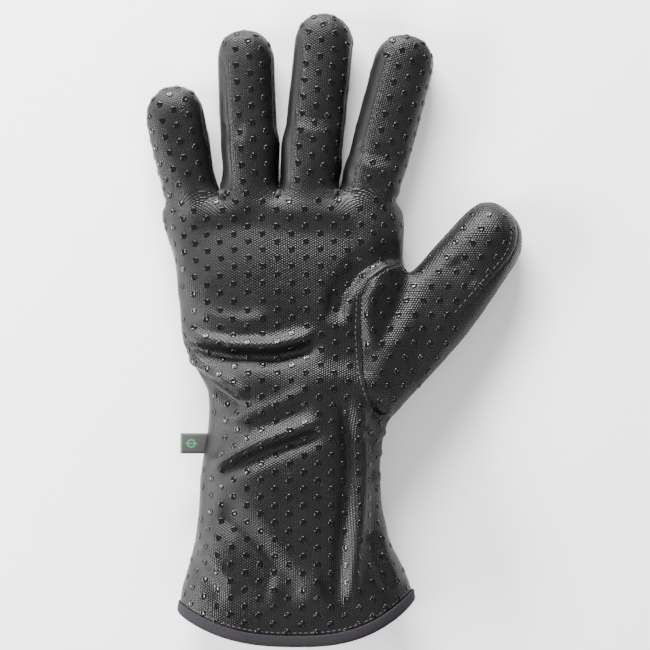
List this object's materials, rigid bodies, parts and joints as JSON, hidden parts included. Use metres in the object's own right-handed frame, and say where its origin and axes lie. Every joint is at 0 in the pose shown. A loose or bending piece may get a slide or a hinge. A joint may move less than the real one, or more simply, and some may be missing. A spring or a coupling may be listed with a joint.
{
  "type": "heat resistant glove",
  "caption": "Right-hand gauntlet glove with a dotted grip on coated cloth, a soft lining, a bound flared cuff and a side label; it lies palm up and its digits and cuff flex.",
  "frame": {"origin": "on the surface that the glove's back rests on, under the middle of the palm", "axes": "+Y from the cuff towards the fingertips, +X towards the thumb, +Z out of the palm"},
  "size_m": [0.201, 0.3299, 0.0393],
  "materials": {
    "shell_fabric": "coated hexagonal weave with a semi-gloss charcoal surface",
    "side_strip_fabric": "plain dark side strip, matte",
    "lining_fabric": "brushed soft lining",
    "binding_tape": "ribbed matte tape",
    "label_ribbon": "woven ribbon with a green edge",
    "grip_dots": "glossy cured dots",
    "sewing_thread": "twisted polyester thread"
  },
  "bodies": {
    "hand": {"palm_panel": "shell_fabric", "thumb_palm_side_root": "shell_fabric", "back_panel": "shell_fabric", "palm_lining": "lining_fabric"},
    "cuff": {"cuff_palm_side": "shell_fabric", "cuff_back": "shell_fabric", "cuff_lining": "lining_fabric", "hem_binding": "binding_tape"},
    "little_base": {"little_back_base": "shell_fabric", "little_lining_base": "lining_fabric", "little_palm_side_base": "shell_fabric", "little_right_fourchette_base": "side_strip_fabric"},
    "little_tip": {"little_back_tip": "shell_fabric", "little_lining_tip": "lining_fabric", "little_palm_side_tip": "shell_fabric", "little_right_fourchette_tip": "side_strip_fabric"},
    "ring_base": {"ring_back_base": "shell_fabric", "ring_left_fourchette_base": "side_strip_fabric", "ring_lining_base": "lining_fabric", "ring_palm_side_base": "shell_fabric", "ring_right_fourchette_base": "side_strip_fabric"},
    "ring_tip": {"ring_back_tip": "shell_fabric", "ring_left_fourchette_tip": "side_strip_fabric", "ring_lining_tip": "lining_fabric", "ring_palm_side_tip": "shell_fabric", "ring_right_fourchette_tip": "side_strip_fabric"},
    "middle_base": {"middle_back_base": "shell_fabric", "middle_left_fourchette_base": "side_strip_fabric", "middle_lining_base": "lining_fabric", "middle_palm_side_base": "shell_fabric", "middle_right_fourchette_base": "side_strip_fabric"},
    "middle_tip": {"middle_back_tip": "shell_fabric", "middle_left_fourchette_tip": "side_strip_fabric", "middle_lining_tip": "lining_fabric", "middle_palm_side_tip": "shell_fabric", "middle_right_fourchette_tip": "side_strip_fabric"},
    "index_base": {"index_back_base": "shell_fabric", "index_left_fourchette_base": "side_strip_fabric", "index_lining_base": "lining_fabric", "index_palm_side_base": "shell_fabric"},
    "index_tip": {"index_back_tip": "shell_fabric", "index_left_fourchette_tip": "side_strip_fabric", "index_lining_tip": "lining_fabric", "index_palm_side_tip": "shell_fabric"},
    "thumb_base": {"thumb_back_base": "shell_fabric", "thumb_lining_base": "lining_fabric", "thumb_palm_side_base": "shell_fabric"},
    "thumb_tip": {"thumb_back_tip": "shell_fabric", "thumb_lining_tip": "lining_fabric", "thumb_palm_side_tip": "shell_fabric"},
    "label": {"side_label": "label_ribbon"}
  },
  "joints": [
    {"name": "wrist_flex", "type": "hinge", "parent": "hand", "child": "cuff", "pos_m": [0, -0.062, 0.0153], "axis": [-1, 0, 0], "range_deg": [0, 40]},
    {"name": "little_knuckle_flex", "type": "hinge", "parent": "hand", "child": "little_base", "pos_m": [-0.05282, 0.057, 0.0103], "axis": [1, 0, 0], "range_deg": [0, 60]},
    {"name": "little_middle_flex", "type": "hinge", "parent": "little_base", "child": "little_tip", "pos_m": [-0.05708, 0.08113, 0.0103], "axis": [0.9848, 0.1736, 0], "range_deg": [0, 75]},
    {"name": "ring_knuckle_flex", "type": "hinge", "parent": "hand", "child": "ring_base", "pos_m": [-0.02228, 0.057, 0.0103], "axis": [1, 0, 0], "range_deg": [0, 60]},
    {"name": "ring_middle_flex", "type": "hinge", "parent": "ring_base", "child": "ring_tip", "pos_m": [-0.02338, 0.09198, 0.0103], "axis": [0.9995, 0.0314, 0], "range_deg": [0, 75]},
    {"name": "middle_knuckle_flex", "type": "hinge", "parent": "hand", "child": "middle_base", "pos_m": [0.00861, 0.057, 0.0103], "axis": [1, 0, 0], "range_deg": [0, 60]},
    {"name": "middle_middle_flex", "type": "hinge", "parent": "middle_base", "child": "middle_tip", "pos_m": [0.01265, 0.09478, 0.0103], "axis": [0.9943, -0.1063, 0], "range_deg": [0, 75]},
    {"name": "index_knuckle_flex", "type": "hinge", "parent": "hand", "child": "index_base", "pos_m": [0.04114, 0.057, 0.0103], "axis": [1, 0, 0], "range_deg": [0, 60]},
    {"name": "index_middle_flex", "type": "hinge", "parent": "index_base", "child": "index_tip", "pos_m": [0.04957, 0.08891, 0.0103], "axis": [0.9668, -0.2554, 0], "range_deg": [0, 75]},
    {"name": "thumb_root_flex", "type": "hinge", "parent": "hand", "child": "thumb_base", "pos_m": [0.0767, 0.0004, 0.0118], "axis": [0.749, -0.6626, 0], "range_deg": [0, 45]},
    {"name": "thumb_middle_flex", "type": "hinge", "parent": "thumb_base", "child": "thumb_tip", "pos_m": [0.09426, 0.02025, 0.0118], "axis": [0.749, -0.6626, 0], "range_deg": [0, 60]},
    {"name": "label_flap", "type": "hinge", "parent": "cuff", "child": "label", "pos_m": [-0.04674, -0.0752, 0.0165], "axis": [0, 1, 0], "range_deg": [-60, 60], "stiffness_Nm_per_rad": 0.0005}
  ]
}
